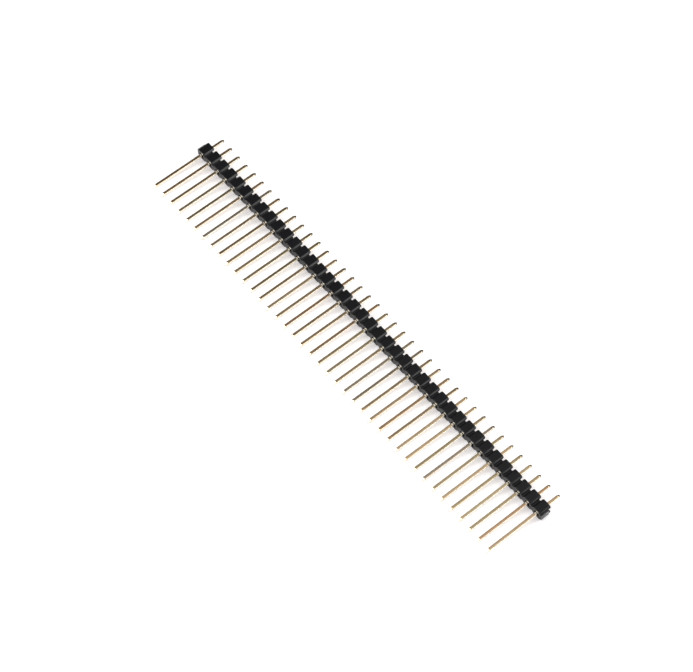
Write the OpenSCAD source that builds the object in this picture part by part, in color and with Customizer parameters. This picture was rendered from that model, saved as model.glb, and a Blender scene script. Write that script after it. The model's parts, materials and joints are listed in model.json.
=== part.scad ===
// Breakaway pin header: one row of square pins through a moulded strip of short blocks.
// It lies on its side, as it comes to rest on a table: X runs along the row, the solder tails point
// to +Y, the mating posts point to -Y, and +Z is up. The origin is under the middle of its box.

/* [Row] */
// Number of pins in the row
pin_count = 40; // [2:1:40]
// Distance from one pin to the next
pitch = 2.54; // [2.3:0.02:3.2]

/* [Housing] */
// Length of the housing along the pins
housing_len = 2.5; // [1.8:0.1:6]
// Thickness of the housing across the row
housing_h = 2.5; // [2.2:0.1:4]
// Depth of the vee grooves between blocks, on the top and underneath
groove_depth = 0.56; // [0.2:0.02:0.7]
// Width of the vee grooves at their mouth
groove_width = 0.96; // [0.4:0.02:1.2]

/* [Solder side] */
// Depth of the channel that keeps the housing clear of the solder, between its two standing lips
relief_depth = 0.7; // [0.3:0.05:1]
// Height of that channel, centred on the pins
relief_h = 1.6; // [0.8:0.05:2]
// How far each snap notch cuts into the lips along the pins
notch_depth = 0.7; // [0.3:0.05:1]
// Width of each snap notch at its mouth
notch_mouth = 0.44; // [0.3:0.02:0.7]
// Width of each snap notch at its root
notch_root = 0.34; // [0.2:0.02:0.6]

/* [Pins] */
// Side of the square pin wire
pin_w = 0.64; // [0.5:0.02:0.8]
// Radius of the pin wire's four long edges
pin_edge_r = 0.13; // [0.05:0.01:0.2]
// Length of the mating posts, from the housing to their tips
post_len = 11.5; // [5:0.5:25]
// Length of the solder tails, from the housing to their tips
tail_len = 3; // [2:0.1:15]
// Length of the taper at each end of a pin
tip_len = 0.5; // [0.2:0.05:0.9]
// Side of the flat end face left at each tip
tip_w = 0.3; // [0.14:0.02:0.4]

/* [Hidden] */
// Smoothness of the pins' rounded edges
edge_facets = 24;
// How far a cutter reaches past the face that it cuts
over = 1;
housing_colour = [0.05, 0.05, 0.055];
pin_colour = [0.72, 0.6, 0.4];

// The strip rests on the front edge of its underside and on its post tips, so it leans by this angle
pin_drop = (housing_h - pin_w) / 2;
rest_tilt = atan(pin_drop / (post_len - tip_len));

row_len = pin_count * pitch;

function pin_name(k) = str("pin_", k < 10 ? "0" : "", k);
function pin_x(k) = (k - (pin_count + 1) / 2) * pitch;
function joint_x(k) = (k - pin_count / 2) * pitch;

// Square with rounded corners: the section of the pin wire and of its seat
module wire_section() {
    core = pin_w - 2 * pin_edge_r;
    square([core, pin_w], center = true);
    square([pin_w, core], center = true);
    for (sx = [-1, 1]) {
        for (sy = [-1, 1]) {
            translate([sx * core / 2, sy * core / 2]) circle(r = pin_edge_r, $fn = edge_facets);
        }
    }
}

// A straight bar of the wire's section from y0 to y1
module wire(y0, y1) {
    translate([0, y1, 0]) rotate([90, 0, 0]) linear_extrude(y1 - y0) wire_section();
}

// One pin seen from the side: straight, with a taper at each end
module pin_outline() {
    tip = tip_w / 2;
    side = pin_w / 2;
    back = housing_len + tail_len;
    polygon([
        [-post_len, -tip], [-post_len + tip_len, -side], [back - tip_len, -side], [back, -tip],
        [back, tip], [back - tip_len, side], [-post_len + tip_len, side], [-post_len, tip]
    ]);
}

// One square pin with tapered tips, on the Y axis
module pin_body() {
    intersection() {
        wire(-post_len, housing_len + tail_len);
        rotate([0, 0, 90]) translate([0, 0, -pin_w]) linear_extrude(2 * pin_w) pin_outline();
        rotate([0, 0, 90]) rotate([90, 0, 0]) translate([0, 0, -pin_w]) linear_extrude(2 * pin_w) pin_outline();
    }
}

// The housing seen along the pins: a chain of eight-sided blocks
module chain_outline() {
    half_h = housing_h / 2;
    waist = half_h - groove_depth;
    cheek = pitch / 2 - groove_width / 2;
    top = [for (k = [1 : pin_count]) each [
        [pin_x(k) - pitch / 2, waist], [pin_x(k) - cheek, half_h], [pin_x(k) + cheek, half_h]
    ]];
    end = [row_len / 2, waist];
    bottom = [for (k = [pin_count : -1 : 1]) each [
        [pin_x(k) + pitch / 2, -waist], [pin_x(k) + cheek, -half_h], [pin_x(k) - cheek, -half_h]
    ]];
    polygon(concat(top, [end], bottom, [[-row_len / 2, -waist]]));
}

// A wedge that opens towards the solder side, for snapping the row at a joint
module notch() {
    root_y = housing_len - notch_depth;
    flare = (notch_mouth - notch_root) / 2 / notch_depth;
    mouth = notch_mouth / 2 + flare * over;
    translate([0, 0, -housing_h]) linear_extrude(2 * housing_h) polygon([
        [-notch_root / 2, root_y], [notch_root / 2, root_y],
        [mouth, housing_len + over], [-mouth, housing_len + over]
    ]);
}

// The channel along the solder side, open at both ends of the row
module relief() {
    length = row_len + 2 * over;
    translate([-length / 2, housing_len - relief_depth, -relief_h / 2]) {
        cube([length, relief_depth + over, relief_h]);
    }
}

module housing_body() {
    difference() {
        translate([0, housing_len, 0]) rotate([90, 0, 0]) linear_extrude(housing_len) chain_outline();
        relief();
        for (k = [0 : pin_count]) translate([joint_x(k), 0, 0]) notch();
        for (k = [1 : pin_count]) translate([pin_x(k), 0, 0]) wire(-over, housing_len + over);
    }
}

// Lays the strip down at its resting lean, with the middle of its box at the origin
module at_rest() {
    front_y = -post_len * cos(rest_tilt);
    back_y = (housing_len + tail_len) * cos(rest_tilt);
    lift = housing_h / 2 * cos(rest_tilt);
    translate([0, -(front_y + back_y) / 2, lift]) rotate([rest_tilt, 0, 0]) children();
}

module housing() {
    color(housing_colour) at_rest() housing_body();
}

module pin(k) {
    color(pin_colour) at_rest() translate([pin_x(k), 0, 0]) pin_body();
}

housing();
for (k = [1 : pin_count]) {
    pin(k);
}
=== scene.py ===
"""Looks of a breakaway pin header strip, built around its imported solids.

The housing and the pins are worked out in the strip's own frame and laid down at its resting lean
when they are put into their meshes: X along the row, Y along the pins from the housing's front face
to the solder side, Z across. Lengths are in metres.
"""

import json
import math

import bmesh
import bpy
import numpy as np
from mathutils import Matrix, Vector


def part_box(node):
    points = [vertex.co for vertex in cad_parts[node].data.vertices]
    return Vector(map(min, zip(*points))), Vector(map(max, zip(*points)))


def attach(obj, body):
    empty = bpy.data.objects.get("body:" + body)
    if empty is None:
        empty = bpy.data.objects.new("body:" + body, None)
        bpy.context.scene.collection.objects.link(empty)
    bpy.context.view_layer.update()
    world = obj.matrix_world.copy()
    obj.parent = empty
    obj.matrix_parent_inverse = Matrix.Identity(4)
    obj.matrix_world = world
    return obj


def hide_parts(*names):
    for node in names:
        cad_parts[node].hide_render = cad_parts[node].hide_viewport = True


bl_info = {
    "name": "Pin header strip",
    "version": (1, 0, 0),
    "blender": (4, 5, 0),
    "location": "View3D > Sidebar > Pin header",
    "description": "Dresses a breakaway pin header: moulded housing, plated pins and a studio",
    "category": "Object",
}

MM = 0.001
# Points nearer to each other than this become one
WELD = 1e-7
# Rounding of the wire's long edges, which the pins' seats follow
PIN_EDGE = 0.1 * MM

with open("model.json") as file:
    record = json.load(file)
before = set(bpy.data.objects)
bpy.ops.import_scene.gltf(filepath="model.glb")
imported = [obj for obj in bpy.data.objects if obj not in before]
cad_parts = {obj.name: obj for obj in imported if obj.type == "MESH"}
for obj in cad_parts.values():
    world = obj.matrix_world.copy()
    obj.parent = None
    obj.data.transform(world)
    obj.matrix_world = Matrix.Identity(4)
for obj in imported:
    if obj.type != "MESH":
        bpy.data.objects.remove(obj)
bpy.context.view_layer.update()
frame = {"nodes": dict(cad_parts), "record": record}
PINS = sorted(n for n in frame["nodes"] if n.startswith("pin_"))
MOUNTS = {m["name"]: m for m in frame["record"]["mounts"]}

# Where the strip's own frame lies: its origin is the middle of the housing's front face
ORIGIN = np.array(MOUNTS["socket_stop_face"]["pos_m"], float)
ALONG = np.array(MOUNTS["board_face"]["axis"], float)
ACROSS = np.array([0.0, -ALONG[2], ALONG[1]])
LEAN = math.atan2(ALONG[2], ALONG[1])

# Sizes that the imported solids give. Places along the pins are measured from the front face.
FIRST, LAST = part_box(PINS[0]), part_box(PINS[-1])
PIN_W = FIRST[1][0] - FIRST[0][0]
PITCH = (LAST[0][0] - FIRST[0][0]) / (len(PINS) - 1)
ROW = len(PINS) * PITCH
PIN_PLACES = (np.arange(len(PINS)) - (len(PINS) - 1) / 2.0) * PITCH
BOARD = (np.array(MOUNTS["board_face"]["pos_m"]) - ORIGIN) @ ALONG
TAIL_END = (np.array(MOUNTS["solder_tails"]["pos_m"]) - ORIGIN) @ ALONG
POST_END = (np.array(MOUNTS["mating_posts"]["pos_m"]) - ORIGIN) @ ALONG
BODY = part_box("housing")
HEIGHT = (BODY[1][2] - BODY[0][2] - BOARD * math.sin(LEAN)) / math.cos(LEAN)


# ---------------------------------------------------------------- settings


def length(name, default, description):
    """A length setting, in metres."""
    return bpy.props.FloatProperty(
        name=name,
        description=description,
        default=default,
        min=0.0,
        subtype="DISTANCE",
        unit="LENGTH",
        precision=5,
    )


def share(name, default, description, high=1.0):
    """A setting without a unit, from nothing to a high limit."""
    return bpy.props.FloatProperty(
        name=name,
        description=description,
        default=default,
        min=0.0,
        max=high,
        subtype="FACTOR",
    )


def colour(name, default, description):
    """A colour setting, in linear light."""
    return bpy.props.FloatVectorProperty(
        name=name,
        description=description,
        default=default,
        min=0.0,
        max=1.0,
        size=3,
        subtype="COLOR",
    )


class HousingSettings(bpy.types.PropertyGroup):
    """Sizes and colours of the moulded housing."""

    groove_depth: length("Groove depth", 0.56 * MM, "Depth of the vee grooves between blocks")
    groove_width: length("Groove width", 0.96 * MM, "Width of the vee grooves at their mouth")
    relief_depth: length("Channel depth", 0.7 * MM, "Depth of the channel on the solder side")
    relief_height: length("Channel height", 1.6 * MM, "Height of that channel between its lips")
    notch_mouth: length("Notch mouth", 0.44 * MM, "Width of the snap notches at the solder side")
    notch_root: length("Notch root", 0.34 * MM, "Width of the snap notches at their root")
    cheek_radius: length("Cheek radius", 0.12 * MM, "Rounding where a block's top meets a groove")
    groove_radius: length("Groove radius", 0.14 * MM, "Rounding at the bottom of the vee grooves")
    rim_radius: length("Rim radius", 0.1 * MM, "Rounding of the front and solder side rims")
    corner_radius: length("Lip corners", 0.2 * MM, "Rounding of the lips' corners seen from above")
    lead_in: length("Pin lead-in", 0.03 * MM, "Small chamfer around each pin's seat")
    well_gap: length("Well gap", 0.26 * MM, "Room around each pin where it leaves the front wall")
    well_depth: length("Well depth", 0.45 * MM, "Depth of that room")
    fit_gap: length("Fit gap", 0.005 * MM, "Gap around a pin in its seat")
    plastic: colour("Plastic", (0.0078, 0.0077, 0.0087), "Colour of the moulded plastic")
    snapped: colour("Snapped plastic", (0.05, 0.049, 0.053), "Colour of the torn end faces")
    whitened: colour("Whitened plastic", (0.62, 0.61, 0.62), "Colour of the streaks torn in them")
    roughness: share("Roughness", 0.16, "Roughness of the moulded plastic")
    sheen: share("Sheen", 0.3, "Specular level of the moulded plastic")
    index: share("Index", 1.5, "Index of refraction of the moulded plastic", 2.0)
    # The front wall's copy of the plastic mirrors less than the rest: painted shade
    shaded_front_sheen: share("Front sheen", 0.3, "Specular level of the front wall's duller skin")
    shaded_front_index: share("Front index", 1.24, "Index of refraction of that duller skin", 2.0)


class PinSettings(bpy.types.PropertyGroup):
    """Sizes and colours of the plated pins."""

    edge_radius: length("Edge radius", PIN_EDGE, "Rounding of the wire's long edges")
    tip_length: length("Tip length", 0.5 * MM, "Length of the taper at each end")
    tip_width: length("Tip width", 0.3 * MM, "Side of the flat left at each tip")
    spread: length("Spread", 0.05 * MM, "How far the tips stray from their true place")
    roll: bpy.props.FloatProperty(
        name="Roll",
        description="How far a pin may be turned about its own length",
        default=math.radians(1.2),
        min=0.0,
        subtype="ANGLE",
        unit="ROTATION",
    )
    tan: colour("Tan plating", (0.89, 0.66, 0.42), "Colour of most pins' plating")
    salmon: colour("Warm plating", (0.93, 0.60, 0.37), "Colour of the warmest pins")
    olive: colour("Olive plating", (0.80, 0.63, 0.38), "Colour of the greenest pins")
    grey: colour("Thin plating", (0.74, 0.61, 0.48), "Colour where the plating is thin")
    # The flanks' paler colour is partly the sheared wire and partly a painted highlight
    flank_shear_and_highlight: colour("Flanks", (0.87, 0.82, 0.71), "Colour of the wire's sheared flanks")
    # Post tips: the pressed points and partly a painted highlight. Tail tips: painted dark
    post_tip: colour("Post tips", (0.95, 0.88, 0.70), "Colour of the pressed points of the posts")
    tail_tip: colour("Tail tips", (0.28, 0.23, 0.15), "Colour of the worn points of the tails")
    roughness: share("Roughness", 0.2, "Roughness of the drawn wire")


class StudioSettings(bpy.types.PropertyGroup):
    """Camera, floor and light of the studio."""

    camera_place: bpy.props.FloatVectorProperty(
        name="Camera place",
        description="Where the camera stands",
        default=(0.16441, -0.14261, 0.34594),
        size=3,
        subtype="TRANSLATION",
        unit="LENGTH",
    )
    camera_turn: bpy.props.FloatVectorProperty(
        name="Camera turn",
        description="How the camera is turned about X, Y and Z",
        default=(math.radians(32.1749), math.radians(-1.4723), math.radians(51.4505)),
        size=3,
        subtype="EULER",
        unit="ROTATION",
    )
    focal_length: bpy.props.FloatProperty(
        name="Focal length",
        description="Focal length in millimetres on a 36 mm wide sensor",
        default=114.45,
        min=1.0,
    )
    key_light: share("Key light", 1.47, "Strength of the wide light overhead", 10.0)
    side_light: share("Side light", 4.1, "Strength of the small low light at the near end", 10.0)
    top_light: share("Top light", 9.0, "Strength of the small light over the posts", 10.0)
    back_light: share("Back light", 2.49, "Strength of the soft light over the tails", 10.0)
    fill: share("Fill", 0.04, "Strength of the light from everywhere else", 10.0)
    floor_white: share("Floor", 0.75, "How white the floor is")
    floor_tint: colour("Floor glow colour", (1.0, 0.965, 0.985), "Colour that shows in its shadows")
    floor_glow: share("Floor glow", 0.41, "How far the floor is lifted to white", 10.0)


# ---------------------------------------------------------------- meshes

# Points on one arc: of the outline, the rims, the seats, the wire's edges and the pins' end faces
ARC = 5
RIM = 5
SEAT_ARC = 4
CORNER = 5
TIP_ARC = 4


def laid_down(points):
    """Strip frame to row frame: the origin, plus x times X, y times the pins' direction and z times
    the direction across."""
    return (
        ORIGIN
        + points[..., :1] * np.array([1.0, 0.0, 0.0])
        + points[..., 1:2] * ALONG
        + points[..., 2:] * ACROSS
    )


def tube_faces(rows, columns):
    """Quads between neighbouring points of a grid stored row after row, each row a closed ring."""
    r = np.arange(rows - 1)[:, None] * columns
    c = np.arange(columns)[None, :]
    n = (c + 1) % columns
    quads = np.stack([r + c, r + n, r + columns + n, r + columns + c], axis=-1)
    return quads.reshape(-1, 4)


def at_every_pin(points):
    """Copies of the points at every pin: X moves by the pin's place along the row."""
    copies = np.repeat(points[None], len(PINS), axis=0)
    copies[..., 0] += PIN_PLACES.reshape((-1,) + (1,) * (points.ndim - 1))
    return copies


def tube_faces_at_pins(rows, columns):
    """The quads of one tube repeated for the copies at every pin."""
    starts = np.arange(len(PINS))[:, None, None] * rows * columns
    return (tube_faces(rows, columns) + starts).reshape(-1, 4)


def put_mesh(name, parts, materials, sharp_degrees):
    """Joins parts given in the strip frame into one welded mesh object whose place is in its mesh.
    A part is its points, arrays of faces of one size each, and a material's number. Normals follow
    the larger faces, so that flats shade flat."""
    points, faces, slots, start = [], [], [], 0
    for part_points, face_arrays, material in parts:
        points.append(part_points.reshape(-1, 3))
        for face_array in face_arrays:
            faces.extend((face_array + start).tolist())
            slots.extend([material] * len(face_array))
        start += len(points[-1])
    mesh = bpy.data.meshes.new(name)
    mesh.from_pydata(laid_down(np.concatenate(points)).tolist(), [], faces)
    mesh.polygons.foreach_set("material_index", np.array(slots, np.int32))
    work = bmesh.new()
    work.from_mesh(mesh)
    bmesh.ops.remove_doubles(work, verts=work.verts, dist=WELD)
    bmesh.ops.recalc_face_normals(work, faces=work.faces)
    work.to_mesh(mesh)
    work.free()
    mesh.shade_smooth()
    mesh.set_sharp_from_angle(angle=math.radians(sharp_degrees))
    for material in materials:
        mesh.materials.append(material)
    piece = bpy.data.objects.new(name, mesh)
    bpy.context.scene.collection.objects.link(piece)
    shading = piece.modifiers.new("even_shading", "WEIGHTED_NORMAL")
    shading.keep_sharp = True
    return piece


def miters(loop):
    """For a closed clockwise loop of (x, z) points, the vector by which each point moves when both
    of its sides move outwards by one: the sum of the sides' normals over one plus their product."""
    step = np.roll(loop, -1, axis=0) - loop
    step /= np.linalg.norm(step, axis=1, keepdims=True)
    normal = np.stack([-step[:, 1], step[:, 0]], axis=1)
    before = np.roll(normal, 1, axis=0)
    return (before + normal) / (1.0 + np.sum(before * normal, axis=1, keepdims=True))


def fillet(corner, before, after, radius, count):
    """Points on the arc that rounds a corner: centred on the corner's bisector at the radius over
    the sine of half its angle, and spread evenly from one side to the other."""
    a = (before - corner) / np.linalg.norm(before - corner)
    b = (after - corner) / np.linalg.norm(after - corner)
    half = math.acos(np.clip(a @ b, -1.0, 1.0)) / 2.0
    centre = corner + (a + b) / np.linalg.norm(a + b) * radius / math.sin(half)
    first = corner + a * radius / math.tan(half) - centre
    last = corner + b * radius / math.tan(half) - centre
    t = np.linspace(0.0, 1.0, count)[:, None]
    turn = math.pi - 2.0 * half
    return centre + (np.sin((1.0 - t) * turn) * first + np.sin(t * turn) * last) / math.sin(turn)


def quarter(count):
    """Angles from nothing to a quarter turn."""
    return np.linspace(0.0, math.pi / 2.0, count)


def stand_up(outline, y):
    """Puts (x, z) points at a place along the pins."""
    out = np.empty(outline.shape[:-1] + (3,))
    out[..., 0] = outline[..., 0]
    out[..., 1] = y
    out[..., 2] = outline[..., 1]
    return out


# ---------------------------------------------------------------- housing

# The housing's materials, by their number in its mesh
# The front wall's copy of the plastic mirrors less, as painted shade
SKIN, SHADED_FRONT_SKIN, TORN = 0, 1, 2
# Edges that turn by more degrees than this are shaded sharp
HOUSING_SHARP = 40.0


def block_half(s, reach):
    """Upper outline of one block between its two notches, left to right, centred on its pin: notch
    side, rounded cheek, flat top, rounded cheek, notch side. Reach is half the width between the
    notches."""
    cheek = PITCH / 2.0 - s.groove_width / 2.0
    top = HEIGHT / 2.0
    slope = s.groove_depth / (PITCH / 2.0 - cheek)
    joint = np.array([PITCH / 2.0, top - s.groove_depth])
    corner = np.array([cheek, top])
    right = fillet(corner, np.array([0.0, top]), joint, s.cheek_radius, ARC)
    edge = np.array([[reach, top - (reach - cheek) * slope]])
    half = np.concatenate([right, edge])
    return np.concatenate([half[::-1] * [-1.0, 1.0], half])


def groove_halves(s):
    """Rounded bottom of the grooves beside one block: from the middle of the left groove up towards
    the block, and from the right of the block down to just before the middle of the next groove."""
    slope = s.groove_depth / (s.groove_width / 2.0)
    bottom = np.array([-PITCH / 2.0, HEIGHT / 2.0 - s.groove_depth])
    side = np.array([1.0, slope])
    arc = fillet(bottom, bottom + side * [-1.0, 1.0], bottom + side, s.groove_radius, ARC)
    return arc[ARC // 2 :], arc[: ARC // 2] + [PITCH, 0.0]


def row_outline(s, block):
    """Closed clockwise outline of the whole row seen along the pins: left groove, block and right
    groove at every pin, the middle of the last groove, then the same run back underneath."""
    up, down = groove_halves(s)
    cell = np.concatenate([up, block, down])
    top = np.concatenate([at_every_pin(cell).reshape(-1, 2), [[ROW / 2.0, cell[0, 1]]]])
    return np.concatenate([top, top[::-1] * [1.0, -1.0]])


def seat_ring(half, radius):
    """Rounded square around a pin, clockwise from its upper left side."""
    turn = quarter(SEAT_ARC)
    core = half - radius
    arc = np.stack([-np.cos(turn), np.sin(turn)], axis=1) * radius + [-core, core]
    arcs = []
    for _ in range(4):
        arcs.append(arc)
        arc = np.stack([arc[:, 1], -arc[:, 0]], axis=1)
    return np.concatenate(arcs)


def seats_at(ring, y):
    """The same ring around every pin, at a place along them."""
    return stand_up(at_every_pin(ring), y)


def wall(outline, ring, y, material):
    """A flat wall inside the row's outline with a hole at every pin: one face above each hole, one
    below it and one on each side."""
    outer = len(outline)
    cell = (outer // 2 - 1) // len(PINS)
    blocks = np.arange(len(PINS))[:, None]
    seat = outer + blocks * len(ring) + np.arange(len(ring))
    upper = blocks * cell + np.arange(cell + 1)
    lower = outer - 1 - upper
    half = len(ring) // 2
    above = np.concatenate([upper, seat[:, half - 1 :: -1]], axis=1)
    below = np.concatenate([lower[:, ::-1], seat[:, : half - 1 : -1]], axis=1)
    left = np.stack([upper[:, 0], lower[:, 0], seat[:, -1], seat[:, 0]], axis=1)
    right = np.stack([upper[:, -1], seat[:, half - 1], seat[:, half], lower[:, -1]], axis=1)
    points = np.concatenate([stand_up(outline, y), seats_at(ring, y).reshape(-1, 3)])
    return points, [above, below, left, right], material


def lips(s, side):
    """All lips on one side of the channel. A lip is its closed section carried from the notches'
    root to the solder side: its width follows the notch and a quarter circle in plan, and near the
    end the whole section shrinks along another quarter circle."""
    root = BOARD - s.relief_depth
    turn = quarter(RIM)
    y = np.concatenate([[root], BOARD - s.corner_radius * (1.0 - np.sin(turn))])
    plan = np.concatenate([[0.0], s.corner_radius * (1.0 - np.cos(turn))])
    depth = np.clip(y - (BOARD - s.rim_radius), 0.0, None)
    shrink = s.rim_radius - np.sqrt(s.rim_radius**2 - depth**2)
    notch = s.notch_root + (s.notch_mouth - s.notch_root) * (y - root) / s.relief_depth
    reach = PITCH / 2.0 - notch / 2.0 - np.maximum(plan - shrink, 0.0)
    floor = s.relief_height / 2.0
    loops = []
    for place, half, inset in zip(y, reach, shrink):
        loop = np.concatenate([block_half(s, half), [[half, floor], [-half, floor]]])
        loops.append(stand_up(loop - miters(loop) * inset, place))
    lip = np.stack(loops)
    lip[..., 2] *= side
    rows, columns = lip.shape[:2]
    starts = np.arange(len(PINS))[:, None] * rows * columns
    caps = starts + (rows - 1) * columns + np.arange(columns)
    return at_every_pin(lip), [tube_faces_at_pins(rows, columns), caps], SKIN


def housing_parts(s):
    """The housing's shell: the row's outline carried from a rounded front rim to the channel's
    floor, its two torn ends, the front wall and the channel's floor around the pins' seats, the
    seats with their wells, and the lips."""
    root = BOARD - s.relief_depth
    reach = PITCH / 2.0 - s.notch_root / 2.0
    block = block_half(s, reach)
    outline = row_outline(s, block)
    grow = miters(outline)
    turn = quarter(RIM)[::-1]
    insets = np.concatenate([s.rim_radius * (1.0 - np.cos(turn)), [0.0]])
    places = np.concatenate([s.rim_radius * (1.0 - np.sin(turn)), [root]])
    loops = np.stack([stand_up(outline - grow * i, y) for i, y in zip(insets, places)])
    count = len(outline)
    faces = tube_faces(len(loops), count).reshape(-1, count, 4)
    torn = np.zeros(count, bool)
    torn[[count // 2 - 1, count - 1]] = True
    shell = (loops, [faces[:, ~torn].reshape(-1, 4)], SKIN)
    ends = (loops, [faces[:, torn].reshape(-1, 4)], TORN)

    # The front wall lies inside the rim, and each well tapers from it to the pin's close seat
    throat, mouth, well, well_mouth = (
        seat_ring(PIN_W / 2.0 + room, PIN_EDGE + room)
        for room in np.cumsum([s.fit_gap, s.lead_in, s.well_gap - s.lead_in, s.lead_in])
    )
    front_wall = wall(outline - grow * insets[0], well_mouth, 0.0, SHADED_FRONT_SKIN)

    # The channel's floor takes the body's grooves and notch corners and the lips' feet
    floor = s.relief_height / 2.0
    foot = np.array([block[0], [-reach, floor], [reach, floor], block[-1]])
    back_wall = wall(row_outline(s, foot), mouth, root, SKIN)

    steps = [
        (well_mouth, 0.0),
        (well, s.lead_in),
        (well, s.well_depth),
        (throat, s.well_depth),
        (throat, root - s.lead_in),
        (mouth, root),
    ]
    tube = np.stack([seats_at(ring, y) for ring, y in steps], axis=1)
    seats = (tube, [tube_faces_at_pins(*tube.shape[1:3])], SKIN)
    return [shell, ends, front_wall, back_wall, seats, lips(s, 1.0), lips(s, -1.0)]


# ---------------------------------------------------------------- pins

# Edges that turn by more degrees than this are shaded sharp
PIN_SHARP = 50.0
# Seed of the pins' tones and strays
SEED = 7
# Tones of the last pins at the near end, on the scale from grey (0) to salmon (1)
NEAR_TONES = (0.2, 0.25, 0.97, 0.82)
# Rounding around a pin's end face, softness of the shoulder where its taper meets the wire, and
# the distances of the taper's rings from that rounding
END_ROUNDING = 0.03 * MM
SHOULDER = 0.05 * MM
TAPER_RINGS = np.array([0.1, 0.25, 0.34, 0.41, 0.46, 0.5, 0.56, 0.66]) * MM


def wire_loop():
    """Rounded square of side 2 as a direction for each point: the flat part and the arc part are
    kept apart, so a section of any half width and edge radius is core times flat plus radius times
    arc."""
    turn = quarter(CORNER)
    arc = np.stack([np.cos(turn), np.sin(turn)], axis=1)
    flat = np.ones_like(arc)
    arcs, flats = [], []
    for _ in range(4):
        arcs.append(arc)
        flats.append(flat)
        arc = np.stack([-arc[:, 1], arc[:, 0]], axis=1)
        flat = np.stack([-flat[:, 1], flat[:, 0]], axis=1)
    return np.concatenate(flats), np.concatenate(arcs)


def tip_profile(s):
    """Distance from the tip and half width along one end of a pin: a quarter turn round the edge of
    the end face, then half the wire less the arm of a hyperbola, which is a straight taper that
    turns into the straight wire over a soft shoulder."""
    side, tip = PIN_W / 2.0, s.tip_width / 2.0
    turn = quarter(TIP_ARC)
    face_y = END_ROUNDING * (1.0 - np.cos(turn))
    face_w = tip - END_ROUNDING * (1.0 - np.sin(turn))
    slope = (side - tip) / (s.tip_length - END_ROUNDING)
    left = s.tip_length - END_ROUNDING - TAPER_RINGS
    taper_w = side - slope * 0.5 * (left + np.hypot(left, SHOULDER))
    taper_y = s.tip_length - left
    return np.concatenate([face_y, taper_y]), np.concatenate([face_w, taper_w])


def pin_part(s, x, strays):
    """One pin: the rounded square section carried from the post's tip to the tail's tip. Its half
    width and its edge radius follow the tip profile. It is shifted along itself, turned about its
    length, and leans sideways and across in step with the distance from the housing's middle."""
    reach, half = tip_profile(s)
    y = np.concatenate([POST_END + reach, (TAIL_END - reach)[::-1]])
    w = np.concatenate([half, half[::-1]])
    radius = s.edge_radius * w / (PIN_W / 2.0)
    flats, arcs = wire_loop()
    section = (w - radius)[:, None, None] * flats + radius[:, None, None] * arcs
    shift, lean_x, lean_z, roll = strays
    turned = np.stack([-section[..., 1], section[..., 0]], axis=-1)
    section = section * math.cos(roll) + turned * math.sin(roll)
    along = (y - BOARD / 2.0) / abs(POST_END)
    points = np.empty(section.shape[:2] + (3,))
    points[..., 0] = x + section[..., 0] + (lean_x * along)[:, None]
    points[..., 1] = (y + shift)[:, None]
    points[..., 2] = section[..., 1] + (lean_z * along)[:, None]
    rows, columns = section.shape[:2]
    ends = np.array([[0], [(rows - 1) * columns]]) + np.arange(columns)
    return points, [tube_faces(rows, columns), ends], 0


# ---------------------------------------------------------------- materials

# The span that a noise mostly keeps to
NOISE_SPAN = (0.3, 0.7)
# Streaks to a metre along X, Y and Z of the strip
FLOW_LINES = (3000.0, 900.0, 3000.0)
TORN_LINES = (1500.0, 260.0, 3200.0)
TORN_FIBRES = (9000.0, 3000.0, 16000.0)
DRAWN_LINES = (24000.0, 500.0, 24000.0)
# How densely the blotches lie, as a share of the streaks' density
BLOTCHES = 0.12
# How much paler the plastic is at its flow marks
FLOW_GAIN = 1.35
# Where the torn streaks begin to whiten and are white
WHITENED = (0.55, 0.63)
# Places of the plating colours on the tone scale
TONES = ((0.0, "grey"), (0.2, "olive"), (0.45, "tan"), (0.8, "tan"), (1.0, "salmon"))
# Blotches in which the plating is thin, and how thin
THIN_PATCHES = (0.5, 0.7)
THIN_SHARE = 0.35
# Depths under the flanks' faces at which their paler colour, partly the sheared wire and partly
# a painted highlight, begins and is full
FLANK_DEPTHS = (0.09 * MM, 0.03 * MM)
# A pale ring on each pin at the housing, a painted highlight: where it begins and is full on
# either side, and how pale it is
PAINTED_GLINT_FRONT = (-0.42 * MM, -0.27 * MM)
PAINTED_GLINT_BACK = (0.3 * MM, 0.1 * MM)
PAINTED_GLINT_SHARE = 0.75
# Share of a tip's length over which its own colour is full
TIP_FULL = 0.7


def new_material(name):
    """An empty node material with its Principled shader."""
    material = bpy.data.materials.new(name)
    material.use_nodes = True
    tree = material.node_tree
    return material, tree, tree.nodes["Principled BSDF"]


def node(tree, kind, settings=None, **inputs):
    """A node with its settings and inputs. An input is a value or another node's output, under the
    socket's name with its spaces as _, or under the letter i and the socket's number."""
    made = tree.nodes.new(kind)
    for key, value in (settings or {}).items():
        setattr(made, key, value)
    for key, value in inputs.items():
        socket = made.inputs[int(key[1:]) if key[1:].isdigit() else key.replace("_", " ")]
        if isinstance(value, bpy.types.NodeSocket):
            tree.links.new(value, socket)
        else:
            socket.default_value = value
    return made


def maths(tree, operation, a, b=0.0):
    """The output of a maths node."""
    return node(tree, "ShaderNodeMath", {"operation": operation}, i0=a, i1=b).outputs[0]


def mask(tree, value, none, full):
    """Nothing up to one limit and all from the other, soft between. Either may be the larger."""
    return node(
        tree, "ShaderNodeMapRange", {"interpolation_type": "SMOOTHSTEP"}, Value=value,
        From_Min=none, From_Max=full, To_Min=0.0, To_Max=1.0,
    ).outputs[0]


def rough(tree, shader, noise, low, high):
    """Lets the roughness follow a noise from low to high."""
    followed = node(
        tree, "ShaderNodeMapRange", {}, Value=noise,
        From_Min=NOISE_SPAN[0], From_Max=NOISE_SPAN[1], To_Min=low, To_Max=high,
    ).outputs[0]
    tree.links.new(followed, shader.inputs["Roughness"])


def raised(tree, shader, height, strength, distance):
    """Lets the surface rise with a height."""
    bump = node(tree, "ShaderNodeBump", {}, Strength=strength, Distance=distance, Height=height)
    tree.links.new(bump.outputs[0], shader.inputs["Normal"])


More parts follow.
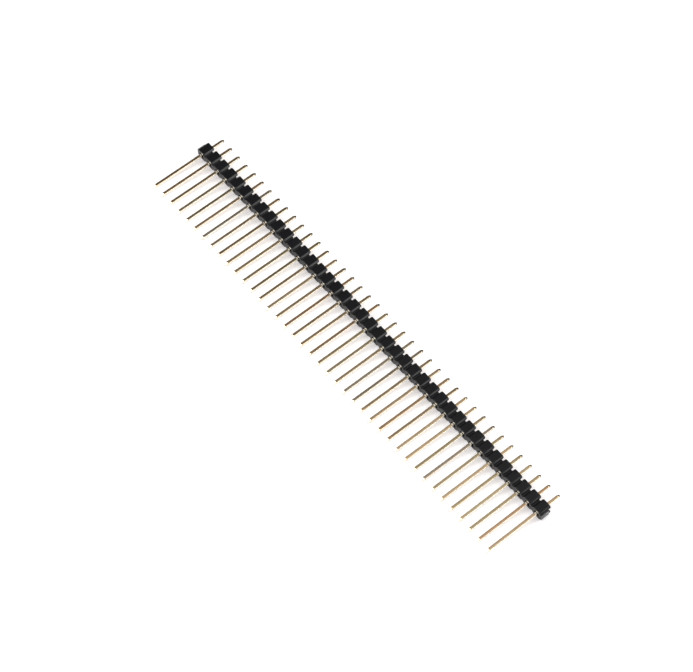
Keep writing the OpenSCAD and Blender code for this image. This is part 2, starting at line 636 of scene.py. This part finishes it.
def rgba(value):
    """A colour setting as a socket takes it."""
    return (*value, 1.0)


def blend(tree, amount, a, b):
    """Colour a turning into colour b, which are sockets 6 and 7 of a Mix node."""
    made = node(tree, "ShaderNodeMix", {"data_type": "RGBA"}, i0=amount, i6=a, i7=b)
    return made.outputs[2]


def ramp(tree, amount, stops):
    """A colour that runs through the given (place, colour) stops."""
    made = node(tree, "ShaderNodeValToRGB", {}, Fac=amount)
    made.color_ramp.interpolation = "LINEAR"
    elements = made.color_ramp.elements
    while len(elements) < len(stops):
        elements.new(1.0)
    for element, (place, tint) in zip(elements, stops):
        element.position = place
        element.color = rgba(tint)
    return made.outputs[0]


def strip_coordinates(tree):
    """Object coordinates taken back to the strip's own frame, so that Y runs along the pins."""
    place = node(tree, "ShaderNodeTexCoord").outputs["Object"]
    back = (0.0, -float(ORIGIN @ ALONG), -float(ORIGIN @ ACROSS))
    return node(
        tree, "ShaderNodeMapping", {"vector_type": "POINT"}, Vector=place, Location=back,
        Rotation=(-LEAN, 0.0, 0.0),
    ).outputs[0]


def streaks_group():
    """Node group: fine lines and slower blotches. Stretch sets how many lines there are to a metre
    in each direction, and Seed changes both."""
    group = bpy.data.node_groups.new("drawn_streaks", "ShaderNodeTree")
    make = group.interface.new_socket
    make("Vector", in_out="INPUT", socket_type="NodeSocketVector")
    make("Stretch", in_out="INPUT", socket_type="NodeSocketVector")
    make("Seed", in_out="INPUT", socket_type="NodeSocketFloat")
    make("Lines", in_out="OUTPUT", socket_type="NodeSocketFloat")
    make("Blotches", in_out="OUTPUT", socket_type="NodeSocketFloat")
    given = group.nodes.new("NodeGroupInput").outputs
    out = group.nodes.new("NodeGroupOutput").inputs
    scaled = node(
        group, "ShaderNodeVectorMath", {"operation": "MULTIPLY"},
        i0=given["Vector"], i1=given["Stretch"],
    ).outputs[0]
    kinds = (("Lines", 1.0, 3.0, 0.6), ("Blotches", BLOTCHES, 2.0, 0.5))
    for name, scale, detail, roughness in kinds:
        noise = node(
            group, "ShaderNodeTexNoise", {"noise_dimensions": "4D"},
            Vector=scaled, W=given["Seed"], Scale=scale, Detail=detail, Roughness=roughness,
        ).outputs[0]
        group.links.new(noise, out[name])
    return group


def streaks(tree, vector, stretch, seed=0.0):
    """Lines and blotches of the streaks group, placed in a material."""
    group = bpy.data.node_groups.get("drawn_streaks") or streaks_group()
    placed = node(
        tree, "ShaderNodeGroup", {"node_tree": group}, Vector=vector, Stretch=stretch, Seed=seed
    )
    return placed.outputs["Lines"], placed.outputs["Blotches"]


def plastic_material(s, name, sheen, index):
    """Black glass-filled plastic: near black with faint flow marks, a fine moulded grain and a few
    duller patches."""
    material, tree, shader = new_material(name)
    place = strip_coordinates(tree)
    flow, patches = streaks(tree, place, FLOW_LINES)
    grain = node(
        tree, "ShaderNodeTexNoise", {}, Vector=place, Scale=16000.0, Detail=2.0, Roughness=0.6
    ).outputs[0]
    pale = tuple(FLOW_GAIN * c for c in s.plastic)
    marked = blend(tree, flow, rgba(s.plastic), rgba(pale))
    tree.links.new(marked, shader.inputs["Base Color"])
    rough(tree, shader, patches, s.roughness - 0.03, s.roughness + 0.06)
    shader.inputs["Specular IOR Level"].default_value = sheen
    shader.inputs["IOR"].default_value = index
    raised(tree, shader, grain, 0.06, 0.01 * MM)
    return material


def snapped_material(s):
    """Torn plastic where the strip was broken off: grey, rough, with whitened streaks drawn out
    along the pins and finer fibres between them."""
    material, tree, shader = new_material("snapped_plastic")
    place = strip_coordinates(tree)
    lines, _ = streaks(tree, place, TORN_LINES)
    fibres, _ = streaks(tree, place, TORN_FIBRES, 3.0)
    torn = blend(tree, mask(tree, lines, *WHITENED), rgba(s.snapped), rgba(s.whitened))
    tree.links.new(torn, shader.inputs["Base Color"])
    rough(tree, shader, fibres, 0.3, 0.6)
    height = maths(tree, "ADD", maths(tree, "MULTIPLY", lines, 3.0), fibres)
    raised(tree, shader, height, 0.5, 0.015 * MM)
    return material


def pin_material(s):
    """Thin gold over nickel on drawn brass wire, with lines along the wire. Each pin has its own
    tone, from grey through olive and tan to salmon, with thinner patches. The flanks are paler,
    partly for the sheared wire and partly as a painted highlight, and a pale ring at the housing
    is a painted highlight. The post tips are pale, partly for the pressed points and partly as a
    painted highlight, and the tail tips are painted dark."""
    material, tree, shader = new_material("plated_pin")
    place = strip_coordinates(tree)
    x, y, _ = node(tree, "ShaderNodeSeparateXYZ", {}, Vector=place).outputs
    steps = maths(tree, "ADD", maths(tree, "DIVIDE", x, PITCH), (len(PINS) - 1) / 2.0)
    number = maths(tree, "ROUND", steps)
    lines, blotches = streaks(tree, place, DRAWN_LINES, number)

    tone = node(tree, "ShaderNodeAttribute", {"attribute_name": "tone"}).outputs["Fac"]
    own = ramp(tree, tone, [(stop, getattr(s, name)) for stop, name in TONES])
    thin = maths(tree, "MULTIPLY", mask(tree, blotches, *THIN_PATCHES), THIN_SHARE)
    plated = blend(tree, thin, own, rgba(s.grey))

    aside = maths(tree, "ABSOLUTE", maths(tree, "SUBTRACT", steps, number))
    # Paler flanks: partly the sheared wire, partly a painted highlight
    flank_shear_and_highlight = mask(tree, aside, *((PIN_W / 2.0 - depth) / PITCH for depth in FLANK_DEPTHS))
    # The pale ring at the housing is a painted highlight
    ring = maths(tree, "MULTIPLY", mask(tree, y, *PAINTED_GLINT_FRONT), mask(tree, y, *PAINTED_GLINT_BACK))
    pale = maths(tree, "MAXIMUM", flank_shear_and_highlight, maths(tree, "MULTIPLY", ring, PAINTED_GLINT_SHARE))
    # The plating with its paler marks laid over it, which are painted highlights in part
    painted = blend(tree, pale, plated, rgba(s.flank_shear_and_highlight))

    middle, half = (POST_END + TAIL_END) / 2.0, (TAIL_END - POST_END) / 2.0
    reach = maths(tree, "ABSOLUTE", maths(tree, "SUBTRACT", y, middle))
    # The posts' pale tips are partly the pressed points and partly a painted highlight; the tails'
    # tips are painted dark
    pressed = mask(tree, reach, half - s.tip_length, half - TIP_FULL * s.tip_length)
    tips = blend(tree, mask(tree, y, 0.0, BOARD), rgba(s.post_tip), rgba(s.tail_tip))
    tree.links.new(blend(tree, pressed, painted, tips), shader.inputs["Base Color"])

    shader.inputs["Metallic"].default_value = 1.0
    rough(tree, shader, lines, s.roughness - 0.06, s.roughness + 0.08)
    raised(tree, shader, lines, 0.2, 0.003 * MM)
    return material


def floor_material(s):
    """A white sweep: a plain matt floor that also glows, so that it reads white and keeps the
    shadow, which the glow tints a little."""
    material, _, shader = new_material("white_sweep")
    shader.inputs["Base Color"].default_value = (s.floor_white, s.floor_white, s.floor_white, 1.0)
    shader.inputs["Roughness"].default_value = 0.9
    shader.inputs["Specular IOR Level"].default_value = 0.0
    shader.inputs["Emission Color"].default_value = rgba(s.floor_tint)
    shader.inputs["Emission Strength"].default_value = s.floor_glow
    return material


# ---------------------------------------------------------------- studio

# Each light's strength setting and direction, and the cosines of the angles from that direction
# at which it is gone and is full
LIGHTS = (
    ("key_light", (0.178, -0.182, 0.967), 0.713, 0.998),
    ("side_light", (0.875, 0.235, 0.425), 0.972, 0.9962),
    ("top_light", (-0.400, -0.350, 0.847), 0.978, 0.993),
    ("back_light", (0.146, 0.636, 0.758), 0.881, 0.911),
)
# Sines of the heights over the horizon where the mirrored backdrop is gone and full
BACKDROP = (0.12, 0.03)
# Half the side of the floor
FLOOR_HALF = 2.0
SENSOR_WIDTH = 36.0
# The lens looks half a step aside on a frame this many steps wide
FRAME_WIDTH = 693.0


def softbox(tree, ray, direction, gone, full, strength):
    """A soft round light in the sky: full inside one angle and nothing outside the other."""
    d = np.array(direction, float)
    d /= np.linalg.norm(d)
    facing = node(
        tree, "ShaderNodeVectorMath", {"operation": "DOT_PRODUCT"}, i0=ray, i1=tuple(d)
    ).outputs["Value"]
    return maths(tree, "MULTIPLY", mask(tree, facing, gone, full), strength)


def studio_sky(s):
    """A dim sky with four soft lights. The camera sees it white, and so do reflections near the
    horizon, where the backdrop would stand."""
    world = bpy.data.worlds.new("studio_sky")
    bpy.context.scene.world = world
    world.use_nodes = True
    tree = world.node_tree
    background = tree.nodes["Background"]
    background.inputs["Color"].default_value = (1.0, 1.0, 1.0, 1.0)
    ray = node(tree, "ShaderNodeTexCoord").outputs["Generated"]
    light = s.fill
    for setting, direction, gone, full in LIGHTS:
        one = softbox(tree, ray, direction, gone, full, getattr(s, setting))
        light = maths(tree, "ADD", light, one)
    height = node(tree, "ShaderNodeSeparateXYZ", {}, Vector=ray).outputs["Z"]
    path = node(tree, "ShaderNodeLightPath").outputs
    mirrored = maths(tree, "ADD", path["Is Glossy Ray"], path["Is Transmission Ray"])
    backdrop = maths(tree, "MULTIPLY", mirrored, mask(tree, height, *BACKDROP))
    seen = maths(tree, "MAXIMUM", path["Is Camera Ray"], backdrop)
    mix = node(tree, "ShaderNodeMix", {"data_type": "FLOAT"}, i0=seen, i2=light, i3=1.0)
    tree.links.new(mix.outputs[0], background.inputs["Strength"])


def sweep_floor(s):
    """The flat square floor."""
    mesh = bpy.data.meshes.new("sweep")
    corners = np.array([(-1.0, -1.0, 0.0), (1.0, -1.0, 0.0), (1.0, 1.0, 0.0), (-1.0, 1.0, 0.0)])
    mesh.from_pydata((corners * FLOOR_HALF).tolist(), [], [(0, 1, 2, 3)])
    mesh.materials.append(floor_material(s))
    floor = bpy.data.objects.new("sweep", mesh)
    bpy.context.scene.collection.objects.link(floor)
    return floor


def studio_camera(s):
    """The camera at its place, with its lens."""
    lens = bpy.data.cameras.new("studio_camera")
    lens.sensor_width = SENSOR_WIDTH
    lens.lens = s.focal_length
    lens.shift_x = -0.5 / FRAME_WIDTH
    lens.shift_y = 0.5 / FRAME_WIDTH
    lens.clip_start = 0.01
    camera = bpy.data.objects.new("studio_camera", lens)
    camera.location = s.camera_place
    camera.rotation_euler = s.camera_turn
    bpy.context.scene.collection.objects.link(camera)
    return camera


# ---------------------------------------------------------------- operators


class PINHEADER_OT_housing(bpy.types.Operator):
    """Builds the moulded housing with its grooves, seats, lips and snap notches."""

    bl_idname = "pinheader.housing"
    bl_label = "Mould the housing"

    def execute(self, context):
        s = context.scene.pinheader_housing
        plastics = [
            plastic_material(s, "moulded_black_plastic", s.sheen, s.index),
            # This copy mirrors less and darkens the front wall as painted shade
            plastic_material(s, "front_wall_shaded_plastic", s.shaded_front_sheen, s.shaded_front_index),
            snapped_material(s),
        ]
        piece = put_mesh("housing_moulding", housing_parts(s), plastics, HOUSING_SHARP)
        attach(piece, "root")
        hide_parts("housing")
        return {"FINISHED"}


class PINHEADER_OT_pins(bpy.types.Operator):
    """Draws every plated pin with its tapered tips, each a little different."""

    bl_idname = "pinheader.pins"
    bl_label = "Draw the pins"

    def execute(self, context):
        s = context.scene.pinheader_pins
        material = pin_material(s)
        dice = np.random.default_rng(SEED)
        tones = dice.uniform(0.0, 1.0, len(PINS))
        tones[-len(NEAR_TONES) :] = NEAR_TONES
        for name, tone in zip(PINS, tones):
            low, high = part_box(name)
            # Along, sideways, across and turned; across, the posts only rise from the floor
            strays = dice.uniform([-1.0, -1.0, -1.0, -1.0], [1.0, 1.0, 0.0, 1.0])
            strays *= [s.spread, s.spread, s.spread, s.roll]
            part = pin_part(s, (low[0] + high[0]) / 2.0, strays)
            piece = put_mesh(f"{name}_wire", [part], [material], PIN_SHARP)
            mark = piece.data.attributes.new("tone", "FLOAT", "POINT")
            mark.data.foreach_set("value", np.full(len(piece.data.vertices), tone, np.float32))
            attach(piece, "root")
            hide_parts(name)
        return {"FINISHED"}


class PINHEADER_OT_studio(bpy.types.Operator):
    """Sets up the white floor, the soft light and the camera."""

    bl_idname = "pinheader.studio"
    bl_label = "Set up the studio"

    def execute(self, context):
        s = context.scene.pinheader_studio
        sweep_floor(s)
        studio_sky(s)
        context.scene.camera = studio_camera(s)
        context.scene.view_settings.view_transform = "Standard"
        return {"FINISHED"}


class PINHEADER_PT_panel(bpy.types.Panel):
    """Lists the pieces of the pin header and their settings."""

    bl_label = "Pin header"
    bl_idname = "PINHEADER_PT_panel"
    bl_space_type = "VIEW_3D"
    bl_region_type = "UI"
    bl_category = "Pin header"

    def draw(self, context):
        for operator, settings, _ in STEPS:
            box = self.layout.box()
            group = getattr(context.scene, settings)
            for key in type(group).__annotations__:
                box.prop(group, key)
            box.operator(operator)


# Each operator, its settings on the scene and their class
STEPS = [
    ("pinheader.housing", "pinheader_housing", HousingSettings),
    ("pinheader.pins", "pinheader_pins", PinSettings),
    ("pinheader.studio", "pinheader_studio", StudioSettings),
]
CLASSES = [
    HousingSettings,
    PinSettings,
    StudioSettings,
    PINHEADER_OT_housing,
    PINHEADER_OT_pins,
    PINHEADER_OT_studio,
    PINHEADER_PT_panel,
]


def register():
    """Makes the settings, operators and panel known."""
    for cls in CLASSES:
        bpy.utils.register_class(cls)
    for _, settings, cls in STEPS:
        setattr(bpy.types.Scene, settings, bpy.props.PointerProperty(type=cls))


def unregister():
    """Takes them away again."""
    for _, settings, _ in STEPS:
        delattr(bpy.types.Scene, settings)
    for cls in reversed(CLASSES):
        bpy.utils.unregister_class(cls)


def main():
    """Builds every piece in order."""
    register()
    bpy.ops.pinheader.housing()
    bpy.ops.pinheader.pins()
    bpy.ops.pinheader.studio()


if __name__ == "__main__":
    main()
